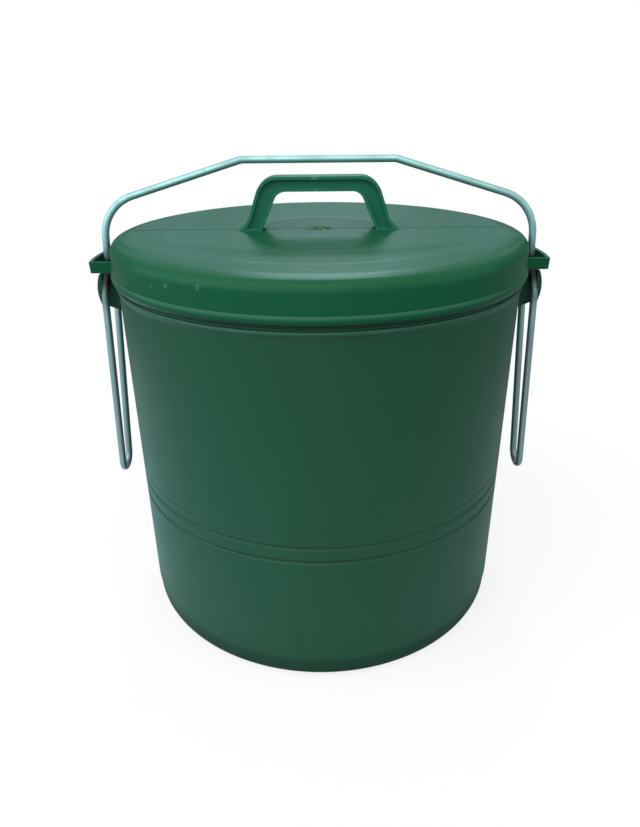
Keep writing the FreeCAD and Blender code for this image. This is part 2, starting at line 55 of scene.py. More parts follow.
MM = 0.001  # metres
GUARD = 0.35  # mm from an arc to the guard point beside it
ARC_STEP = 9.0  # degrees between two points of an arc, at most
SIDE_SHARE = 0.48  # share of a side that the rounding of one corner takes, at most
# Sharp outer edges turn paler with rubbed wear; sharp inner edges get painted shade.
SHARP_RADIUS = 3.0  # mm, below which an edge shows wear or shade
SAME_PLACE = 2e-6  # metres between points that are one
TURN_STEPS = 240  # steps round a turned shell
HUB = 100.0  # mm, radius of the path that a half section is turned on
FINE_EDGE = (0.35, 2)  # width in mm and steps of a rounded edge
SOFT_EDGE = (0.7, 3)
CREASE_ANGLE = 28.0  # degrees, above which an edge is rounded
WHITE = (1.0, 1.0, 1.0)


class Body(Enum):
    """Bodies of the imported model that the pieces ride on, each with the finish that the record names."""

    BUCKET = ("bucket", "bucket_plastic")
    LID = ("lid", "lid_plastic")
    BAIL = ("bail", "galvanised_wire")


# Outlines

class Corner(NamedTuple):
    """A corner of an outline, the radius that rounds it in millimetres, and its tone: 1 paler (rubbed wear,
    and painted highlight where a section asks for it), -1 painted shade.
    """

    a: float
    b: float
    radius: float = 0.0
    tone: float = 0.0


def arc(start: Point, end: Point, radius: float, count: int) -> list[Point]:
    """Samples the arc between two points.

    Args:
        start: First point, in millimetres.
        end: Last point, in millimetres.
        radius: Radius; positive puts the centre to the left of the way from start to end.
        count: Number of steps.

    Returns:
        count + 1 points, both ends included.
    """
    a, b = Vector(start), Vector(end)
    chord = b - a
    left = Vector((-chord.y, chord.x)).normalized()
    rise = sqrt(max(radius * radius - chord.length_squared / 4, 0.0))
    centre = (a + b) / 2 + left * copysign(rise, radius)
    first, last = a - centre, b - centre
    turn = atan2(first.x * last.y - first.y * last.x, first.dot(last))
    return [tuple(centre + Matrix.Rotation(turn * i / count, 2) @ first) for i in range(count + 1)]


def straight(start: Point, end: Point, count: int) -> list[Point]:
    """Divides the line between two points into steps, both ends included."""
    a, b = Vector(start), Vector(end)
    return [tuple(a.lerp(b, i / count)) for i in range(count + 1)]


def rounded(corners: list[Corner]) -> list[Mark]:
    """Rounds the corners of an open outline, with a guard point on each straight run beside an arc.

    Args:
        corners: The outline's corners in order, with the solid on the left.

    Returns:
        Points as (a, b, edge): edge is above 0 where the colour turns paler, on a rubbed outer edge and at a
            painted highlight, and below 0 where shade is painted, in inner edges and hollows.
    """
    places = [Vector((corner.a, corner.b)) for corner in corners]
    runs: list[list[Mark]] = [[(*places[0], 0.0)]]
    for before, here, after, corner in zip(places, places[1:], places[2:], corners[1:]):
        back, ahead = before - here, after - here
        turn = pi - back.angle(ahead)
        if corner.radius <= 0 or turn < 1e-3:
            runs.append([(*here, corner.tone)])
            continue
        reach = min(corner.radius * tan(turn / 2), SIDE_SHARE * min(back.length, ahead.length))
        radius = reach / tan(turn / 2)
        first, last = here + back.normalized() * reach, here + ahead.normalized() * reach
        outer = -1.0 if back.x * ahead.y - back.y * ahead.x > 0 else 1.0
        count = max(3, ceil(degrees(turn) / ARC_STEP))
        bend = arc(tuple(first), tuple(last), copysign(radius, outer), count)
        # Sharp outer corners get rubbed wear; sharp inner corners get painted shade.
        sharp = min(1.0, turn) if radius < SHARP_RADIUS else 0.0
        runs.append([(*p, corner.tone or outer * sharp) for p in bend])
    runs.append([(*places[-1], 0.0)])
    out = list(runs[0])
    for run, following in zip(runs, runs[1:]):
        start, end = Vector(run[-1][:2]), Vector(following[0][:2])
        guard = (end - start).normalized() * GUARD
        if (end - start).length > 3 * GUARD:
            out += [(*(start + guard), 0.0), (*(end - guard), 0.0)]
        out += following
    return out


# Node trees

@dataclass(frozen=True)
class Value:
    """A number in a node tree that takes part in arithmetic: its tree and the socket that gives it."""

    graph: "Graph"
    socket: Socket

    def _math(self, operation: str, first: "Value | float", second: "Value | float") -> "Value":
        """Adds a Math node with that operation and gives its result."""
        return self.graph.read("Math", 0, {0: first, 1: second}, operation=operation)

    def __add__(self, other: "Value | float") -> "Value":
        """Sum."""
        return self._math("ADD", self, other)

    __radd__ = __add__

    def __sub__(self, other: "Value | float") -> "Value":
        """Difference."""
        return self._math("SUBTRACT", self, other)

    def __rsub__(self, other: float) -> "Value":
        """Difference from a number on the left."""
        return self._math("SUBTRACT", other, self)

    def __mul__(self, other: "Value | float") -> "Value":
        """Product."""
        return self._math("MULTIPLY", self, other)

    __rmul__ = __mul__

    def __abs__(self) -> "Value":
        """Size without its sign."""
        return self._math("ABSOLUTE", self, 0.0)

    def smooth(self, low: float, high: float) -> "Value":
        """Eases from 0 at the first limit to 1 at the second, which may be the lower one."""
        limits = {"Value": self, "From Min": low, "From Max": high}
        return self.graph.read("MapRange", 0, limits, interpolation_type="SMOOTHSTEP")


class Graph:
    """A node tree in which one method adds any node of its family."""

    family = "ShaderNode"

    def __init__(self, tree: bpy.types.NodeTree) -> None:
        """Takes a tree and empties it."""
        self.tree = tree
        self.tree.nodes.clear()

    def add(self, kind: str, inputs: Inputs | None = None, **settings: object) -> bpy.types.Node:
        """Adds a node.

        Args:
            kind: The node's type within the family.
            inputs: Values or links of its sockets, by name or number.
            settings: Properties of the node, which are set before its sockets.

        Returns:
            The node.
        """
        node = self.tree.nodes.new(self.family + kind)
        for key, setting in settings.items():
            setattr(node, key, setting)
        for key, given in (inputs or {}).items():
            if isinstance(given, Value):
                given = given.socket
            if isinstance(given, Socket):
                self.tree.links.new(given, node.inputs[key])
            else:
                node.inputs[key].default_value = given
        return node

    def read(self, kind: str, output: str | int, inputs: Inputs | None = None, **settings: object) -> Value:
        """Adds a node and gives one of its outputs as a number."""
        return Value(self, self.add(kind, inputs, **settings).outputs[output])

    def mix(self, amount: Value | float, first: object, second: object) -> Socket:
        """Mixes that share of the second colour or link into the first."""
        pair = [(*given, 1.0) if isinstance(given, tuple) else given for given in (first, second)]
        return self.add("Mix", {0: amount, 6: pair[0], 7: pair[1]}, data_type="RGBA").outputs[2]


class Surface(Graph):
    """The node tree of a finish, with the patterns that its layers share."""

    def __init__(self, name: str) -> None:
        """Starts a material of that name with an empty tree."""
        self.material = bpy.data.materials.new(name)
        self.material.use_nodes = True
        super().__init__(self.material.node_tree)
        self.place = self.add("TexCoord").outputs["Object"]

    def stretched(self, scale: Colour, turn: Colour = (0.0, 0.0, 0.0)) -> Socket:
        """Turns the piece's own coordinates by angles in radians and stretches them."""
        node = self.add("Mapping", {"Vector": self.place, "Rotation": turn, "Scale": scale})
        return node.outputs["Vector"]

    def cloud(self, scale: float, detail: float, place: Socket | None = None) -> Value:
        """Soft noise from 0 to 1, by its patches per metre, its octaves and its coordinates."""
        inputs = {"Vector": place or self.place, "Scale": scale, "Detail": detail}
        return self.read("TexNoise", "Fac", inputs)

    def attribute(self, name: str) -> Value:
        """Reads a number that a mesh carries."""
        return self.read("Attribute", "Fac", attribute_name=name)

    def axis(self, name: str) -> Value:
        """One of the piece's own coordinates, by the name of its axis."""
        return self.read("SeparateXYZ", name, {0: self.place})

    def near(self, centre: Colour, radius: float) -> Value:
        """Mask of the surface round a point, in metres: 1 close to it, easing to 0 at the radius."""
        far = self.read("VectorMath", "Value", {0: self.place, 1: centre}, operation="DISTANCE")
        return far.smooth(radius, 0.2 * radius)

    def relief(self, *layers: tuple[Value, float]) -> Socket:
        """Normal of stacked reliefs, each by its height from 0 to 1 and depth in mm, the lowest first."""
        under: Inputs = {}
        for height, depth in layers:
            inputs = {"Strength": 1.0, "Distance": depth * MM, "Height": height, **under}
            under = {"Normal": self.add("Bump", inputs).outputs["Normal"]}
        return under["Normal"]

    def close(self, inputs: Inputs) -> None:
        """Ends the tree in a Principled shader with these values or links."""
        shader = self.add("BsdfPrincipled", inputs)
        self.add("OutputMaterial", {"Surface": shader.outputs["BSDF"]})


# Finishes

@dataclass(frozen=True)
class MouldedPlastic:
    """Coloured polypropylene as it leaves the mould, with handling wear, painted highlight on some edges and
    painted shade in inner edges, hollows and round the foot. Places in metres.
    """

    name: str
    colour: Colour
    deep: Colour
    pale: Colour
    roughness: float
    shine: float
    smudge: float
    peel: float
    scuff: float
    foot_shade: float = 0.0
    foot_levels: Point = (0.0175, 0.0115)
    grain: float = 0.0
    flecks: tuple[Colour, ...] = ()
    fleck_reach: float = 0.0027
    fleck_tint: Colour = (0.14, 0.25, 0.19)
    knits: tuple[tuple[Colour, float], ...] = ()
    knit_line: float = -0.0020
    wave: float = 0.10

    def material(self) -> Material:
        """Builds the finish and gives its material."""
        s = Surface(self.name)
        drift = s.cloud(7.0, 3.0)
        pigment = s.cloud(55.0, 4.0, s.stretched((1.0, 1.0, 0.35)))
        handling = s.cloud(16.0, 5.0)
        rub = s.cloud(90.0, 3.0, s.stretched((6.0, 6.0, 0.5), (0.25, 0.1, 0.0)))
        hair = s.cloud(260.0, 2.0, s.stretched((1.0, 9.0, 1.0), (0.4, 0.9, 0.6)))
        # edge above 0: rubbed wear on outer edges, and painted highlight where a section's tone sets it (bead
        # crest, lid lip); below 0: painted shade.
        edge = s.attribute("edge")
        wear_and_highlight = edge.smooth(0.0, 1.0) * (0.45 + handling.smooth(0.34, 0.66) * 0.55)
        shade = edge.smooth(0.0, -1.0)
        scratch = hair.smooth(0.70, 0.76) * handling.smooth(0.50, 0.66)
        streak = rub.smooth(0.60, 0.78) * drift.smooth(0.42, 0.62)
        marks_and_highlight = wear_and_highlight * 0.65 + streak * (0.18 * self.scuff) + scratch * (0.40 * self.scuff)
        colour = s.mix(drift * 0.30 + pigment * 0.25, self.colour, self.deep)
        colour = s.mix(marks_and_highlight, colour, self.pale)
        rough = self.roughness + (handling - 0.5) * self.smudge
        rough = rough + wear_and_highlight * 0.06 + scratch * 0.12 + streak * 0.05
        height = s.cloud(650.0, 2.0) * 0.7 + s.cloud(2600.0, 1.0) * 0.3
        if self.grain > 0:
            torn = s.cloud(260.0, 3.0)
            colour = s.mix(torn.smooth(0.54, 0.42) * self.grain, colour, self.deep)
            colour = s.mix(torn.smooth(0.53, 0.62) * self.grain, colour, self.pale)
        # Painted shade round the foot, darker towards the bottom.
        if self.foot_shade > 0:
            foot = s.axis("Z").smooth(*self.foot_levels) * (0.75 + s.cloud(60.0, 4.0) * 0.5)
            shade = shade + foot * self.foot_shade
        # Painted shade: the shaded places are darkened towards a near-black tone of the deep colour.
        colour = s.mix(shade * 0.92, colour, tuple(0.15 * c for c in self.deep))
        rough = rough - shade * 0.24
        for centre in self.flecks:
            speckle = s.cloud(520.0, 2.0, s.stretched((1.0, 1.0, 0.6)))
            chip = s.near(centre, self.fleck_reach) * speckle.smooth(0.50, 0.58)
            colour = s.mix(chip * 0.32, colour, self.fleck_tint)
            height = height - chip * 0.8
        if self.knits:
            across = s.axis("X") - self.knit_line
            weld = abs(across + (pigment - 0.5) * 0.0006).smooth(0.0005, 0.0001)
            colour = s.mix(weld * 0.25, colour, self.deep)
            height = height - weld * 0.5
        for centre, radius in self.knits:
            bright = s.near(centre, radius) * (0.55 + s.cloud(900.0, 2.0) * 0.6)
            colour = s.mix(bright, colour, self.pale)
        normal = s.relief((height, self.peel), (s.cloud(24.0, 1.0), self.wave))
        look = {"Base Color": colour, "Roughness": rough, "Specular IOR Level": self.shine, "Normal": normal}
        s.close(look)
        return s.material


@dataclass(frozen=True)
class GalvanisedWire:
    """Drawn steel wire with a bright zinc coat that has dulled in patches, with painted reflection on the
    lower legs and painted shade round the welds. Places in metres.
    """

    name: str
    bright: Colour
    dull: Colour
    stain_and_shade: Colour
    leg_reflection: Colour
    roughness: float
    welds: tuple[Colour, ...]
    leg_reflection_levels: Point = (0.27, 0.15)
    weld_shade_reach: float = 0.030
    draw_depth: float = 0.010
    grain_depth: float = 0.003

    def material(self) -> Material:
        """Builds the finish and gives its material."""
        s = Surface(self.name)
        run, turn = s.attribute("run"), s.attribute("turn")
        along = s.add("CombineXYZ", {0: run * 6.0, 1: turn * 5.0, 2: 0.0}).outputs["Vector"]
        draw = s.cloud(9.0, 4.0, along)
        cells = {"Vector": s.place, "Scale": 240.0, "Randomness": 1.0}
        spangle = s.add("TexVoronoi", cells, feature="F1").outputs["Color"]
        tone = s.read("SeparateColor", 0, {0: spangle})
        patch = s.cloud(42.0, 4.0)
        grime = s.cloud(110.0, 4.0).smooth(0.60, 0.78)
        dulled = patch.smooth(0.40, 0.66) * 0.45 + tone * 0.10 + draw * 0.12
        colour = s.mix(dulled, self.bright, self.dull)
        colour = s.mix(grime * 0.30, colour, self.stain_and_shade)
        # Painted reflection: the lower legs turn greyer and darker, for the duller surroundings that they
        # reflect.
        colour = s.mix(s.axis("Z").smooth(*self.leg_reflection_levels) * 0.75, colour, self.leg_reflection)
        # Weld burn round each join, spread wide and dark as painted shade under the lid's loops; the same dark
        # colour serves the real grime.
        for centre in self.welds:
            weld_burn_and_shade = s.near(centre, self.weld_shade_reach) * (0.85 + s.cloud(160.0, 4.0) * 0.6)
            colour = s.mix(weld_burn_and_shade, colour, self.stain_and_shade)
        rough = self.roughness + (tone - 0.5) * 0.04 + patch.smooth(0.45, 0.75) * 0.10 + grime * 0.10
        metal = 1.0 - grime * 0.22
        normal = s.relief((draw, self.draw_depth), (s.cloud(900.0, 2.0), self.grain_depth))
        s.close({"Base Color": colour, "Roughness": rough, "Metallic": metal, "Normal": normal})
        return s.material


# Meshes

def new_object(name: str, data: bpy.types.ID) -> Piece:
    """Adds an object of that name at the origin: a mesh with its place in it, a lamp or a camera."""
    made = bpy.data.objects.new(name, data)
    bpy.context.scene.collection.objects.link(made)
    return made


def settle(piece: Piece) -> None:
    """Turns a piece with its modifiers into a plain mesh."""
    graph = bpy.context.evaluated_depsgraph_get()
    shown = piece.evaluated_get(graph)
    mesh = bpy.data.meshes.new_from_object(shown, preserve_all_data_layers=True, depsgraph=graph)
    piece.modifiers.clear()
    piece.data = mesh


def face_outwards(mesh: bpy.types.Mesh) -> None:
    """Merges doubles and points the faces of a closed shell outwards."""
    work = bmesh.new()
    work.from_mesh(mesh)
    bmesh.ops.remove_doubles(work, verts=work.verts, dist=1e-6)
    bmesh.ops.dissolve_degenerate(work, edges=work.edges, dist=1e-7)
    bmesh.ops.recalc_face_normals(work, faces=work.faces)
    work.to_mesh(mesh)
    work.free()


def soften(piece: Piece, width: float, segments: int) -> None:
    """Rounds the sharp edges of a piece to a width in millimetres, in so many steps."""
    piece.data.shade_smooth()
    bevel = piece.modifiers.new("edge_round", "BEVEL")
    bevel.width = width * MM
    bevel.segments = segments
    bevel.limit_method = "ANGLE"
    bevel.angle_limit = radians(CREASE_ANGLE)
    bevel.harden_normals = True
    settle(piece)


class PathTree(Graph):
    """Geometry nodes that carry a section along a line."""

    family = "GeometryNode"

    def __init__(self, name: str, material: Material, sizes: dict[str, float | int]) -> None:
        """Starts a tree by its name, its finish and its inputs beside the line, with the line as a curve."""
        super().__init__(bpy.data.node_groups.new(name, "GeometryNodeTree"))
        self.material = material
        self.socket("Geometry", "INPUT", "Geometry")
        self.sizes = {self.socket(key, "INPUT", "Int" if isinstance(size, int) else "Float"): size
                      for key, size in sizes.items()}
        self.socket("Geometry", "OUTPUT", "Geometry")
        self.given = self.tree.nodes.new("NodeGroupInput").outputs
        line = self.add("MeshToCurve", {"Mesh": self.given["Geometry"]})
        self.line = line.outputs[0]

    def socket(self, name: str, side: str, kind: str) -> str:
        """Adds an input or output to the tree and gives its identifier."""
        return self.tree.interface.new_socket(name, in_out=side, socket_type=f"NodeSocket{kind}").identifier

    def circle(self, steps: int | Socket, radius: str) -> Socket:
        """Adds a circle of so many steps, with its radius from the input of that name."""
        inputs = {"Resolution": steps, "Radius": self.given[radius]}
        return self.add("CurvePrimitiveCircle", inputs, mode="RADIUS").outputs["Curve"]

    def noted(self, curve: Socket, name: str, measure: str) -> Socket:
        """Stores under a name how far along a curve its points lie, as Length or Factor."""
        far = self.add("SplineParameter").outputs[measure]
        return self.add("StoreNamedAttribute", {"Geometry": curve, "Name": name, "Value": far},
                        data_type="FLOAT", domain="POINT").outputs[0]

    def end(self, path: Socket, profile: Socket, caps: bool) -> None:
        """Closes the tree: the profile along the path, with or without caps, merged, smooth and finished."""
        sweep = {"Curve": path, "Profile Curve": profile, "Fill Caps": caps}
        node = self.add("CurveToMesh", sweep)
        for kind, inputs in (
            ("MergeByDistance", {"Distance": SAME_PLACE}),
            ("SetShadeSmooth", {}),
            ("RealizeInstances", {}),
            ("SetMaterial", {"Material": self.material}),
        ):
            node = self.add(kind, {"Geometry": node.outputs[0], **inputs})
        self.tree.links.new(node.outputs[0], self.tree.nodes.new("NodeGroupOutput").inputs[0])

    def run(self, name: str, points: list[Vector], numbers: dict[str, list[float]]) -> Piece:
        """Runs the tree on a line and makes the result a plain mesh.

        Args:
            name: Name of the piece.
            points: The line's points in order, in millimetres.
            numbers: Numbers that the points carry, by name.

        Returns:
            The piece.
        """
        mesh = bpy.data.meshes.new(name)
        mesh.from_pydata([point * MM for point in points], [(i, i + 1) for i in range(len(points) - 1)], [])
        for key, row in numbers.items():
            mesh.attributes.new(key, "FLOAT", "POINT").data.foreach_set("value", row)
        piece = new_object(name, mesh)
        modifier = piece.modifiers.new(self.tree.name, "NODES")
        modifier.node_group = self.tree
        for key, size in self.sizes.items():
            modifier[key] = size
        settle(piece)
        return piece


def lathe(name: str, corners: list[Corner], material: Material) -> Piece:
    """Turns a half section about the upright axis.

    Args:
        name: Name of the piece.
        corners: Half section as (radius, height), from axis to axis.
        material: Finish.

    Returns:
        The piece.
    """
    tree = PathTree(f"{name}_turning", material, {"Hub": HUB * MM, "Segments": TURN_STEPS})
    path = tree.circle(tree.given["Segments"], "Hub")
    upright = tree.add("SetCurveNormal", {"Curve": path}, mode="Z_UP")
    tree.end(upright.outputs[0], tree.line, False)
    points = rounded(corners)
    places = [Vector((radius - HUB, -height, 0.0)) for radius, height, _ in points]
    piece = tree.run(name, places, {"edge": [edge for _, _, edge in points]})
    face_outwards(piece.data)
    return piece


class Shell:
    """A closed mesh that is put together from rows of points."""

    def __init__(self) -> None:
        """Starts an empty mesh."""
        self.work = bmesh.new()

    def row(self, points: list[Vector]) -> Row:
        """Adds a row of vertices, given in millimetres."""
        return [self.work.verts.new(point * MM) for point in points]

    def face(self, *corners: bmesh.types.BMVert) -> None:
        """Adds one face."""
        self.work.faces.new(corners)

    def strip(self, first: Row, second: Row, ring: bool) -> None:
        """Joins two rows of the same count with faces; in a ring, the last points join the first too."""
        if ring:
            first, second = first + first[:1], second + second[:1]
        for corners in zip(first, first[1:], second[1:], second):
            self.face(*corners)

    def piece(self, name: str) -> Piece:
        """Points the faces outwards and makes the mesh a piece of that name."""
        bmesh.ops.recalc_face_normals(self.work, faces=self.work.faces)
        mesh = bpy.data.meshes.new(name)
        self.work.to_mesh(mesh)
        self.work.free()
        return new_object(name, mesh)


def plate(name: str, outline: list[Point], half: float) -> Piece:
    """Plate from a closed outline as (x, z) and half of its thickness along Y, in millimetres."""
    shell = Shell()
    front, rear = (shell.row([Vector((x, y, z)) for x, z in outline]) for y in (-half, half))
    shell.face(*front)
    shell.face(*rear)
    shell.strip(front, rear, True)
    return shell.piece(name)


def twinned(name: str, pieces: list[Piece]) -> Piece:
    """Joins pieces and their copies on the other side, at -X, into one piece, and removes them."""
    shell = Shell()
    for piece in pieces:
        other = piece.data.copy()
        other.transform(Matrix.Rotation(pi, 4, "Z"))
        shell.work.from_mesh(piece.data)
        shell.work.from_mesh(other)
        bpy.data.meshes.remove(other)
        bpy.data.objects.remove(piece)
    return shell.piece(name)


def dress(piece: Piece, material: Material, body: Body) -> None:
    """Gives a piece its finish, and ties it to the body that it rides on and whose node it replaces."""
    node, slot = body.value
    piece.data.materials.clear()
    piece.data.materials.append(material)
    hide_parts(node)
    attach(piece, node)
    LOG.info("%s rides on %s, %d faces", piece.name, node, len(piece.data.polygons))


# Sub-assemblies

@dataclass
class Bucket:
    """Tapered bucket with a bead, three fine bands and two hooked ears. Sizes in millimetres."""

    finish: MouldedPlastic
    base_radius: float = 132.0
    rim_radius: float = 137.0
    rim_level: float = 263.1
    wall: float = 2.4
    bead_level: float = 241.7
    bead_height: float = 3.4
    bead_proud: float = 1.3
    # Bead as (drop below its top, share of its proud, tone): the crest is paler as painted highlight, the
    # underside darker as painted shade.
    bead_shape: tuple[Mark, ...] = (
        (6.0, 0.0, 0.0), (5.0, 0.12, 0.0), (4.0, 0.45, 0.0), (3.2, 0.80, 0.3), (2.6, 0.97, 0.8),
        (2.0, 1.0, 0.9), (1.5, 0.90, 0.9), (1.15, 0.66, 0.4), (0.9, 0.34, -0.6), (0.7, 0.0, -1.0),
    )
    base_round: float = 9.0
    base_inset: float = 0.7
    base_step: float = 15.8
    foot_width: float = 9.0
    foot_recess: float = 3.0
    floor_top: float = 6.0
    inner_round: float = 9.0
    bands: tuple[Point, ...] = ((93.9, 0.85), (104.2, 0.75), (112.8, 0.35))
    band_half: float = 2.1
    band_steps: int = 6
    band_shade: float = -0.40
    ear_inner: float = 152.2
    ear_lip: float = 1.9
    ear_top: float = 242.0
    ear_low: float = 218.1
    ear_slant: float = 7.0
    ear_web_top: float = 240.7
    ear_web: float = 2.2
    ear_width: float = 11.6
    ear_curve: float = 30.0

    def wall_at(self, level: float) -> float:
        """Outer radius of the tapered wall at a level."""
        return self.base_radius + (self.rim_radius - self.base_radius) * level / self.bead_level

    def section(self) -> list[Corner]:
        """Corners of the half section, from the underside's middle round to the floor's middle."""
        base = self.base_radius - self.base_inset
        foot = base - self.base_round - self.foot_width
        step_top = self.base_step + self.base_inset
        corners = [
            Corner(0.0, self.foot_recess),
            Corner(foot, self.foot_recess, 0.8),
            Corner(foot, 0.0, 0.7),
            Corner(base, 0.0, self.base_round),
            Corner(base, self.base_step, 0.5),
            Corner(self.wall_at(step_top), step_top, 0.5),
        ]
        # Each band is a shallow groove with painted shade that deepens with its depth.
        for level, depth in self.bands:
            for i in range(-self.band_steps, self.band_steps + 1):
                dip = depth * (0.5 + 0.5 * cos(pi * i / self.band_steps))
                height = level + self.band_half * i / self.band_steps
                corners.append(Corner(self.wall_at(height) - dip, height, 0.0, self.band_shade * dip))
        high = self.bead_level + self.bead_height / 2
        # Bead, with painted highlight on its crest and painted shade beneath.
        for drop, share, tone in self.bead_shape:
            level = high - drop
            reach = min(self.wall_at(level), self.rim_radius) + self.bead_proud * share
            corners.append(Corner(reach, level, 0.0, tone))
        corners += [
            # The wall between the bead and the rim carries painted shade, where the lid's lip hangs over it.
            Corner(self.rim_radius - 0.02, high + 0.5, 0.0, -1.0),
            Corner(self.rim_radius - 0.01, high + 8.0, 0.0, -1.0),
            Corner(self.rim_radius, self.rim_level, 0.9),
            Corner(self.rim_radius - self.wall, self.rim_level, 0.9),
            Corner(self.rim_radius - self.wall, self.bead_level, 0.5),
            Corner(self.wall_at(self.floor_top) - self.wall, self.floor_top, self.inner_round),
            Corner(0.0, self.floor_top),
        ]
        return corners

    def ears(self) -> Piece:
        """Builds both ears, each a thin web with a curved lip, as one piece."""
        root = self.rim_radius - 0.6 * self.wall
        web_end = self.ear_inner + 0.5 * self.ear_lip
        lower = [(root, self.ear_low - self.ear_slant), (web_end, self.ear_low)]
        upper = [(web_end, self.ear_web_top), (root, self.ear_web_top)]
        web = plate("ear_web", lower + upper, self.ear_web / 2)
        soften(web, *FINE_EDGE)
        outer = self.ear_inner + self.ear_lip
        bow = arc((outer, self.ear_low), (outer, self.ear_top), self.ear_curve, 14)
        back = [(self.ear_inner, self.ear_top), (self.ear_inner, self.ear_low)]
        lip = plate("ear_lip", back + bow, self.ear_width / 2)
        soften(lip, *SOFT_EDGE)
        return twinned("bucket_ears", [web, lip])

    def build(self) -> None:
        """Builds and dresses the bucket's pieces."""
        material = self.finish.material()
        dress(lathe("bucket_shell", self.section(), material), material, Body.BUCKET)
        dress(self.ears(), material, Body.BUCKET)


@dataclass
class Lid:
    """Flat lid with a rounded shoulder, a skirt, side loops and an arched handle. Sizes in millimetres."""

    finish: MouldedPlastic
    handle_finish: MouldedPlastic
    torn_finish: MouldedPlastic
    radius: float = 140.0
    top: float = 271.2
    fall: float = 0.3
    fall_width: float = 11.0
    fall_slope: float = 11.0
    fall_round: float = 30.0
    sink_radius: float = 46.0
    sink_half: float = 8.0
    sink_depth: float = 0.20
    sink_round: float = 40.0
    wall: float = 2.2
    bottom: float = 245.6
    shoulder: float = 8.6
    lip_height: float = 6.2
    lip_proud: float = 0.8
    lip_flare: float = 0.2
    lip_round: float = 4.0
    lip_depth: float = 1.7
    lip_steps: int = 8
    seat_level: float = 262.75
    panel: float = 105.6
    crease_width: float = 5.0
    crease_depth: float = 0.18
    crease_round: float = 6.0
    seam_start: float = 12.0
    seam_sunk: float = 0.16
    seam_half: float = 0.38
    gate_radius: float = 6.8
    gate_stretch: float = 1.45
    gate_height: float = 0.7
    gate_rings: int = 14
    gate_steps: int = 72
    loop_height: float = 7.8
    loop_half: float = 18.9
    loop_wall: float = 1.8
    loop_corner: float = 155.4
    loop_round: float = 1.3
    loop_hole_round: float = 0.8
    loop_bow: float = 1.4
    loop_draft: float = 3.0
    handle_top: float = 306.6
    handle_bar: float = 9.7
    handle_width: float = 15.0
    handle_web: float = 8.2
    handle_rim: float = 2.1
    handle_flat: float = 27.8
    handle_shoulder: Point = (42.05, 10.2)
    handle_ankle: Point = (47.7, 8.3)
    handle_toe: float = 57.1
    handle_heel: float = 39.0
    handle_round: float = 15.0
    handle_inner_flat: float = 22.4
    handle_inner: Point = (29.75, 4.9)
    handle_inner_round: float = 8.0
    handle_toe_curve: float = 14.2
    handle_sink: float = 0.8
    leg_normal: Point = (0.948, 0.317)
    heel_normal: Point = (0.922, 0.388)
    pocket_toe: float = 49.5
    pocket_heel: float = 40.26
    pocket_rise: float = 1.4

    def section(self) -> list[Corner]:
        """Corners of the half section, from the underside's middle round to the top's middle."""
        edge = self.top - self.fall
        brink = edge - self.fall_width * tan(radians(self.fall_slope))
        under = edge - self.wall
        inside = self.radius - self.wall
        lip = self.radius + self.lip_proud
        step = self.bottom + self.lip_height
        dent = self.top - 0.9 * self.crease_depth
        corners = [
            Corner(0.0, self.top),
            Corner(self.sink_radius - self.sink_half, self.top, self.sink_round),
            Corner(self.sink_radius, self.top - self.sink_depth, self.sink_round),
            Corner(self.sink_radius + self.sink_half, self.top, self.sink_round),
            Corner(self.panel, self.top, self.crease_round),
            Corner(self.panel + 0.5 * self.crease_width, dent, self.crease_round),
            Corner(self.panel + self.crease_width, edge + 0.4 * self.fall, self.crease_round),
            Corner(self.radius - self.fall_width, edge + 0.2 * self.fall, self.fall_round),
            Corner(self.radius, brink, self.shoulder),
            Corner(self.radius, step, 0.35),
            # The lip's top edge is paler: rubbed wear and painted highlight.
            Corner(lip - 0.55, step - 0.4, 0.45, 0.95),
            Corner(lip - 0.30, step - 1.3, 0.0, 0.65),
        ]
        # The lip's underside rounds inwards, with painted shade that deepens towards the bottom.
        for i in range(self.lip_steps + 1):
            angle = radians(90.0 * i / self.lip_steps)
            reach = lip + self.lip_flare - self.lip_depth * (1.0 - cos(angle))
            level = self.bottom + self.lip_round * (1.0 - sin(angle))
            corners.append(Corner(reach, level, 0.0, -sin(angle) ** 1.5))
        corners += [
            Corner(inside, self.bottom, 0.4),
            Corner(inside, self.seat_level, 0.6),
            Corner(inside - (under - self.seat_level), under, 1.0),
            Corner(0.0, under),
        ]
        return corners[::-1]

    def loops(self) -> Piece:
        """Builds both side loops, each a closed strap on the skirt, as one piece."""
        half, corner = self.loop_half, self.loop_corner
        bow = (half ** 2 + self.loop_bow ** 2) / (2 * self.loop_bow)
        root = self.radius - self.wall / 2
        rim = self.radius + self.lip_proud + self.lip_flare
        spread = self.loop_height * tan(radians(self.loop_draft))

        def ring(y: float, x: float, skirt: float, turn: float) -> list[Point]:
            """Closed outline by its half width, its reach, its radius on the skirt and its corners' radius."""
            foot = sqrt(skirt ** 2 - y ** 2)
            points = arc((x - turn, -y), (x, -y + turn), turn, 5)
            points += arc((x, -y + turn), (x, y - turn), bow, 10)[1:-1]
            points += arc((x, y - turn), (x - turn, y), turn, 5)
            points += straight((x - turn, y), (foot, y), 3)[1:-1]
            points += arc((foot, y), (foot, -y), -skirt, 10)
            return points + straight((foot, -y), (x - turn, -y), 3)[1:-1]

        low = ring(half, corner, root, self.loop_round)
        high = ring(half + spread, corner + spread, root, self.loop_round)
        hole = ring(half - self.loop_wall, corner - self.loop_wall, rim, self.loop_hole_round)
        upper = self.bottom + self.loop_height
        shell = Shell()
        rows = []
        for outline, z in ((low, self.bottom), (high, upper), (hole, upper), (hole, self.bottom)):
            rows.append(shell.row([Vector((x, y, z)) for x, y in outline]))
        for row, following in zip(rows, rows[1:] + rows[:1]):
            shell.strip(row, following, True)
        strap = shell.piece("loop")
        soften(strap, *FINE_EDGE)
        return twinned("lid_loops", [strap])

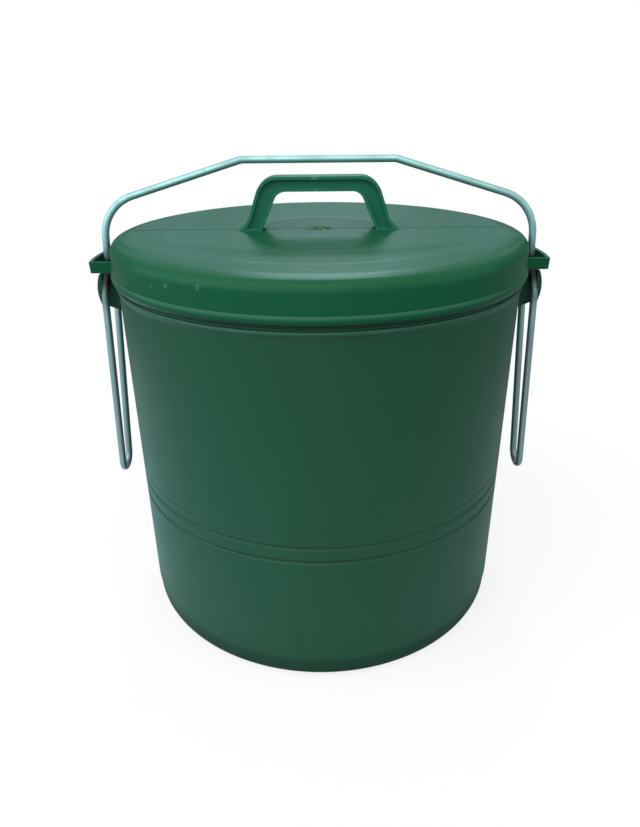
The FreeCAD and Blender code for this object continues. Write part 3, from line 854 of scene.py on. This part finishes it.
    def handle_lines(self, rim: float, base: float, toe: float,
                     heel: float) -> tuple[list[Point], list[Point]]:
        """Outer and inner line of the handle's arch, or of its recess.

        Args:
            rim: Distance inside the arch; 0 for the arch itself.
            base: Height of the lines' feet.
            toe: Reach of the outer line's foot.
            heel: Reach of the inner line's foot.

        Returns:
            Both lines from the right foot over the top to the left foot.
        """
        under = self.handle_top - self.handle_bar
        out_x, out_z = (share * rim for share in self.leg_normal)
        in_x, in_z = (share * rim for share in self.heel_normal)
        ankle = (self.handle_ankle[0] - out_x, self.top + self.handle_ankle[1] - out_z)
        shoulder = (self.handle_shoulder[0] - out_x, self.handle_top - self.handle_shoulder[1] - out_z)
        corner = (self.handle_inner[0] + in_x, under - self.handle_inner[1] + in_z)
        outer = arc((toe, base), ankle, -self.handle_toe_curve - rim, 8)
        outer += straight(ankle, shoulder, 4)[1:-1]
        outer += arc(shoulder, (self.handle_flat, self.handle_top - rim), self.handle_round - rim, 12)
        inner = straight((heel, base), corner, 12)
        inner += arc(corner, (self.handle_inner_flat, under + rim), self.handle_inner_round + rim, 12)[1:]
        lines = [half + [(0.0, half[-1][1])] + [(-x, z) for x, z in half[::-1]] for half in (outer, inner)]
        return lines[0], lines[1]

    def handle(self) -> Piece:
        """Builds the arched handle with its recessed faces."""
        arch = self.handle_lines(0.0, self.top - self.handle_sink, self.handle_toe, self.handle_heel)
        pocket = self.handle_lines(self.handle_rim, self.top + self.pocket_rise, self.pocket_toe,
                                   self.pocket_heel)
        side, deep = self.handle_width / 2, self.handle_web / 2
        shell = Shell()

        def rows(lines: tuple[list[Point], list[Point]], y: float) -> list[Row]:
            """Adds both lines at a distance from the middle plane."""
            return [shell.row([Vector((x, y, z)) for x, z in line]) for line in lines]

        outside = []
        for sign in (-1.0, 1.0):
            out_row, in_row = rows(arch, sign * side)
            mouth_out, mouth_in = rows(pocket, sign * side)
            floor_out, floor_in = rows(pocket, sign * deep)
            across = (out_row, mouth_out, floor_out, floor_in, mouth_in, in_row)
            for first, second in zip(across, across[1:]):
                shell.strip(first, second, False)
            for end in (0, -1):
                shell.face(out_row[end], mouth_out[end], mouth_in[end], in_row[end])
                shell.face(mouth_out[end], floor_out[end], floor_in[end], mouth_in[end])
            outside.append((out_row, in_row))
        (front_out, front_in), (rear_out, rear_in) = outside
        shell.strip(front_out, rear_out, False)
        shell.strip(front_in, rear_in, False)
        for end in (0, -1):
            shell.face(front_out[end], front_in[end], rear_in[end], rear_out[end])
        piece = shell.piece("lid_handle")
        soften(piece, *SOFT_EDGE)
        return piece

    def gate_mark(self) -> Piece:
        """Builds the torn sprue mark in the middle of the top."""
        shell = Shell()
        rows = []
        for r in range(self.gate_rings + 1):
            share = r / self.gate_rings
            spots = []
            for k in range(self.gate_steps):
                angle = 2 * pi * k / self.gate_steps
                way = Vector((cos(angle), sin(angle), 0.0))
                ragged = 1.0 + 0.42 * noise.noise(2.2 * way + Vector((0.0, 0.0, 4.1)))
                spot = way * (self.gate_radius * (0.04 + 0.96 * share) * ragged)
                spot.x *= self.gate_stretch
                dome = self.gate_height * (1.0 - share ** 5)
                torn = 0.34 * noise.noise(spot * 0.75) + 0.20 * noise.noise(spot * 2.1)
                spot.z = self.top - 0.1 + max(dome + torn * (1.0 - share ** 3), 0.0)
                spots.append(spot)
            rows.append(shell.row(spots))
        for near, far in zip(rows, rows[1:]):
            shell.strip(near, far, True)
        shell.face(*rows[0])
        shell.face(*rows[-1])
        piece = shell.piece("gate_mark")
        piece.data.shade_smooth()
        return piece

    def mould_line(self, material: Material) -> Piece:
        """Builds the fine witness line that the mould's two slides leave across the top."""
        tree = PathTree("mould_line_run", material, {"Half width": self.seam_half * MM})
        tree.end(tree.line, tree.circle(10, "Half width"), True)
        run = [(a, b - self.seam_sunk) for a, b, _ in reversed(rounded(self.section()))
               if b > self.top - self.wall and self.seam_start < a < self.radius - self.fall_width]
        places = [Vector((-a, 0.0, b)) for a, b in reversed(run)] + [Vector((a, 0.0, b)) for a, b in run]
        return tree.run("mould_line", places, {})

    def build(self) -> None:
        """Builds and dresses the lid's pieces."""
        material = self.finish.material()
        # The mould line takes the lid's deeper tone as painted shade along the ridge.
        line = replace(self.finish, name="mould_line_plastic", colour=self.finish.deep, flecks=())
        seam = line.material()
        dress(lathe("lid_shell", self.section(), material), material, Body.LID)
        dress(self.mould_line(seam), seam, Body.LID)
        dress(self.gate_mark(), self.torn_finish.material(), Body.LID)
        dress(self.loops(), material, Body.LID)
        dress(self.handle(), self.handle_finish.material(), Body.LID)


@dataclass
class Bail:
    """Bent wire bail with a long closed eye at each end. Sizes in millimetres."""

    finish: GalvanisedWire
    wire: float = 5.0
    top: float = 317.1
    flat_half: float = 50.2
    bend_round: float = 9.0
    slope: float = 17.0
    corner_round: float = 30.0
    leg_reach: float = 148.3
    leg_lean: float = 2.0
    eye_level: float = 250.1
    eye_half: float = 13.5
    eye_shoulder: float = 25.0
    eye_slope: float = 35.0
    neck_round: float = 6.0
    shoulder_round: float = 8.0
    eye_bend: float = 9.0
    eye_drop: float = 155.0
    eye_overlap: float = 1.0
    bend_slack: float = 0.995
    bend_steps: int = 14
    wire_sides: int = 24

    def route(self) -> tuple[list[Vector], list[float]]:
        """Corners of the wire's centre line and the radius at each, from one wire end to the other.

        Returns:
            The corners, and their radii in metres.
        """
        lean, slope, incline = map(radians, (self.leg_lean, self.slope, self.eye_slope))
        bend = self.flat_half + self.bend_round * tan(slope / 2)
        rise = (self.top - self.eye_level - (self.leg_reach - bend) * tan(slope)) \
            / (cos(lean) - sin(lean) * tan(slope))
        splay = atan2(self.eye_half - self.eye_bend, self.eye_drop - self.eye_shoulder)
        lift = self.shoulder_round * tan((incline + splay) / 2)
        shoulder = (self.eye_half + lift * sin(splay), -self.eye_shoulder + lift * cos(splay))
        neck = shoulder[1] + shoulder[0] / tan(incline)
        stop = self.wire / 2 - self.eye_overlap
        floor = -self.eye_drop - self.eye_bend
        foot = self.eye_bend / cos(splay) - self.eye_bend * tan(splay)
        turn = self.eye_bend * self.bend_slack
        eye = [
            (stop, neck - stop / tan(incline), 0.0),
            (shoulder[0], shoulder[1], self.shoulder_round),
            (foot, floor, turn),
            (-foot, floor, turn),
            (-shoulder[0], shoulder[1], self.shoulder_round),
            (0.0, neck, self.neck_round),
            (0.0, rise, self.corner_round),
        ]
        half = []
        for y, h, radius in eye:
            place = (self.leg_reach - h * sin(lean), y, self.eye_level + h * cos(lean))
            half.append((Vector(place), radius))
        half.append((Vector((bend, 0.0, self.top)), self.bend_round))
        whole = half + [(Vector((-place.x, place.y, place.z)), radius) for place, radius in reversed(half)]
        return [place for place, _ in whole], [radius * MM for _, radius in whole]

    def build(self) -> None:
        """Builds and dresses the bail."""
        material = self.finish.material()
        sizes = {"Wire radius": self.wire / 2 * MM, "Bend steps": self.bend_steps}
        tree = PathTree("bail_wire_run", material, sizes)
        radius = tree.add("InputNamedAttribute", {"Name": "bend"}, data_type="FLOAT")
        bends = {"Curve": tree.line, "Count": tree.given["Bend steps"],
                 "Radius": radius.outputs["Attribute"], "Limit Radius": True}
        bent = tree.add("FilletCurve", bends, mode="POLY")
        path = tree.noted(bent.outputs[0], "run", "Length")
        profile = tree.noted(tree.circle(self.wire_sides, "Wire radius"), "turn", "Factor")
        tree.end(path, profile, True)
        places, radii = self.route()
        dress(tree.run("bail_wire", places, {"bend": radii}), material, Body.BAIL)


# Studio

class Lamp(NamedTuple):
    """A soft box: its place and target, its width and height, its watts and its tint."""

    name: str
    place: Colour
    target: Colour
    size: Point
    power: float
    tint: Colour


ON_LID = (0.0, 0.0, 0.26)
ON_BODY = (0.0, 0.0, 0.15)
BLUISH = (0.54, 0.85, 1.0)
LAMPS = (
    Lamp("back_light", (0.04, 2.3, 1.74), ON_LID, (0.85, 0.34), 13.0, (0.52, 0.78, 0.92)),
    Lamp("back_spot", (0.04, 2.3, 1.74), ON_LID, (0.26, 0.30), 3.4, (1.0, 0.88, 0.82)),
    Lamp("back_strip", (0.04, 2.3, 1.20), ON_LID, (1.10, 0.30), 2.3, BLUISH),
    Lamp("back_left", (-0.75, 2.2, 0.95), ON_LID, (0.55, 0.30), 0.95, BLUISH),
    Lamp("back_right", (0.82, 2.2, 0.95), ON_LID, (0.50, 0.30), 0.80, BLUISH),
    Lamp("front_box", (-1.4, -1.9, 1.9), ON_BODY, (5.4, 4.4), 80.0, WHITE),
    Lamp("left_box", (-2.3, -0.4, 0.9), ON_BODY, (2.4, 1.8), 22.0, (0.58, 0.93, 1.0)),
    Lamp("right_box", (2.2, -0.7, 0.9), ON_BODY, (2.4, 1.8), 12.0, (0.62, 0.95, 1.0)),
)


@dataclass
class Studio:
    """White floor and surroundings, soft lights and the camera. Lengths in metres."""

    focal: float = 672.584
    frame_height: float = 827.0
    eye: Colour = (0.0, -0.466711, 0.354761)
    pitch: float = 22.039
    roll: float = -0.56
    yaw: float = -0.038
    axis_row: float = 370.0
    floor_half: float = 60.0

    def seen(self, g: Graph, gloss: Value | float) -> Value:
        """Rays that see the white: 1 for the camera and through glass, a share in reflections, else 0."""
        kinds = ("Camera", "Transmission", "Glossy")
        eye, glass, mirror = (g.read("LightPath", f"Is {kind} Ray") for kind in kinds)
        return eye + glass + mirror * gloss

    def world(self) -> None:
        """White surroundings for the eye, a softer and tinted level for the light on the object."""
        world = bpy.data.worlds.new("white_room")
        world.use_nodes = True
        bpy.context.scene.world = world
        g = Graph(world.node_tree)
        way = {0: g.add("TexCoord").outputs["Generated"]}
        ahead, height = (g.read("SeparateXYZ", axis, way) for axis in "YZ")
        top = height.smooth(0.20, 0.95)
        front = ahead.smooth(0.20, -0.90) * height.smooth(-0.10, 0.35)
        dome = 0.07 + top * 0.80 + front * 0.75
        seen = self.seen(g, 0.08)
        tint = g.mix(top, g.mix(front, (0.72, 0.88, 1.0), (0.95, 1.0, 0.98)), (1.0, 1.0, 0.78))
        tint = g.mix(seen, tint, WHITE)
        light = g.add("Background", {"Color": tint, "Strength": dome + seen * (1.0 - dome)})
        g.add("OutputWorld", {"Surface": light.outputs["Background"]})

    def floor(self) -> None:
        """White floor that keeps the object's shadow."""
        mesh = bpy.data.meshes.new("floor")
        side = self.floor_half
        corners = [(-side, -side, 0.0), (side, -side, 0.0), (side, side, 0.0), (-side, side, 0.0)]
        mesh.from_pydata(corners, [], [(0, 1, 2, 3)])
        s = Surface("white_paper")
        reach = s.read("VectorMath", "Value", {0: s.place}, operation="LENGTH")
        white_share = 0.76 + reach.smooth(0.25, 0.95) * 0.24
        aside = s.axis("X")
        close = reach.smooth(0.72, 0.24) * reach.smooth(0.125, 0.165)
        share = 0.34 + aside.smooth(0.25, 0.0) * 0.28 + aside.smooth(0.05, -0.25) * 0.58
        seen = self.seen(s, 0.05 + close * share)
        tone = s.mix(seen, (0.14, 0.14, 0.14), (0.90, 0.90, 0.90))
        paper = s.add("BsdfDiffuse", {"Color": tone})
        mirrored = s.read("LightPath", "Is Glossy Ray")
        glow = s.mix(mirrored, WHITE, (0.60, 0.95, 1.12))
        white = s.add("Emission", {"Color": glow, "Strength": 1.0})
        layers = {0: seen * white_share, 1: paper.outputs[0], 2: white.outputs[0]}
        mixed = s.add("MixShader", layers)
        s.add("OutputMaterial", {"Surface": mixed.outputs[0]})
        mesh.materials.append(s.material)
        new_object("floor", mesh)

    def hang(self, lamp: Lamp) -> None:
        """Adds a soft box that the camera doesn't see."""
        data = bpy.data.lights.new(lamp.name, "AREA")
        data.shape = "RECTANGLE"
        data.size, data.size_y = lamp.size
        data.energy = lamp.power
        data.color = lamp.tint
        box = new_object(lamp.name, data)
        box.location = lamp.place
        box.rotation_euler = (Vector(lamp.target) - Vector(lamp.place)).to_track_quat("-Z", "Y").to_euler()
        box.visible_camera = False

    def camera(self) -> None:
        """Camera at the photograph's place, aim and framing."""
        pitch, roll, yaw = map(radians, (self.pitch, self.roll, self.yaw))
        turn = Euler((pi / 2 - pitch, 0.0, -yaw)).to_matrix() @ Matrix.Rotation(roll, 3, "Z")
        data = bpy.data.cameras.new("photo_camera")
        data.sensor_fit = "AUTO"
        data.sensor_width = 36.0
        data.lens = self.focal * data.sensor_width / self.frame_height
        data.shift_y = (self.axis_row - self.frame_height / 2) / self.frame_height
        data.clip_start = 0.01
        camera = new_object("photo_camera", data)
        camera.matrix_world = Matrix.Translation(self.eye) @ turn.to_4x4()
        bpy.context.scene.camera = camera

    def build(self) -> None:
        """Sets up the whole studio."""
        bpy.context.scene.view_settings.view_transform = "Standard"
        self.world()
        self.floor()
        for lamp in LAMPS:
            self.hang(lamp)
        self.camera()


BUCKET_GREEN = MouldedPlastic(
    name="bucket_green_plastic",
    colour=(0.0140, 0.0770, 0.0425),
    deep=(0.0095, 0.0540, 0.0300),
    pale=(0.0400, 0.1350, 0.0900),
    roughness=0.42, shine=0.20, smudge=0.10, peel=0.014, scuff=0.6,
    foot_shade=0.42,
)
LID_GREEN = MouldedPlastic(
    name="lid_green_plastic",
    colour=(0.0074, 0.0910, 0.0430),
    deep=(0.0055, 0.0730, 0.0345),
    pale=(0.0450, 0.1500, 0.1000),
    roughness=0.34, shine=0.12, smudge=0.08, peel=0.007, scuff=0.5,
    flecks=(
        (-0.0934, -0.1043, 0.2590),
        (-0.0834, -0.1125, 0.2611),
        (-0.0637, -0.1247, 0.2634),
        (-0.1315, -0.0289, 0.2670),
    ),
)
HANDLE_GREEN = MouldedPlastic(
    name="handle_green_plastic",
    colour=(0.0125, 0.1420, 0.0900),
    deep=(0.0100, 0.1230, 0.0770),
    pale=(0.0450, 0.2300, 0.1150),
    roughness=0.36, shine=0.18, smudge=0.08, peel=0.009, scuff=0.5,
    knits=tuple(
        ((x, y, z), reach) for y in (-0.0072, 0.0072)
        for x, z, reach in ((-0.0028, 0.3060, 0.0036), (-0.0022, 0.2978, 0.0020))
    ),
)
TORN_GREEN = MouldedPlastic(
    name="torn_green_plastic",
    colour=(0.0140, 0.1450, 0.0450),
    deep=(0.0040, 0.0420, 0.0180),
    pale=(0.0450, 0.2600, 0.0800),
    roughness=0.72, shine=0.15, smudge=0.10, peel=0.060, scuff=1.0,
    grain=0.9,
)
ZINC = GalvanisedWire(
    name="galvanised_wire",
    bright=(0.400, 0.665, 0.700),
    dull=(0.270, 0.430, 0.440),
    stain_and_shade=(0.052, 0.048, 0.050),
    leg_reflection=(0.300, 0.340, 0.355),
    roughness=0.54,
    welds=((0.1490, 0.0, 0.2380), (-0.1490, 0.0, 0.2380)),
)


def main() -> None:
    """Builds the object and the studio."""
    logging.basicConfig(level=logging.INFO, format="%(name)s: %(message)s")
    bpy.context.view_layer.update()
    Bucket(BUCKET_GREEN).build()
    Lid(LID_GREEN, HANDLE_GREEN, TORN_GREEN).build()
    Bail(ZINC).build()
    Studio().build()


if __name__ == "__main__":
    main()
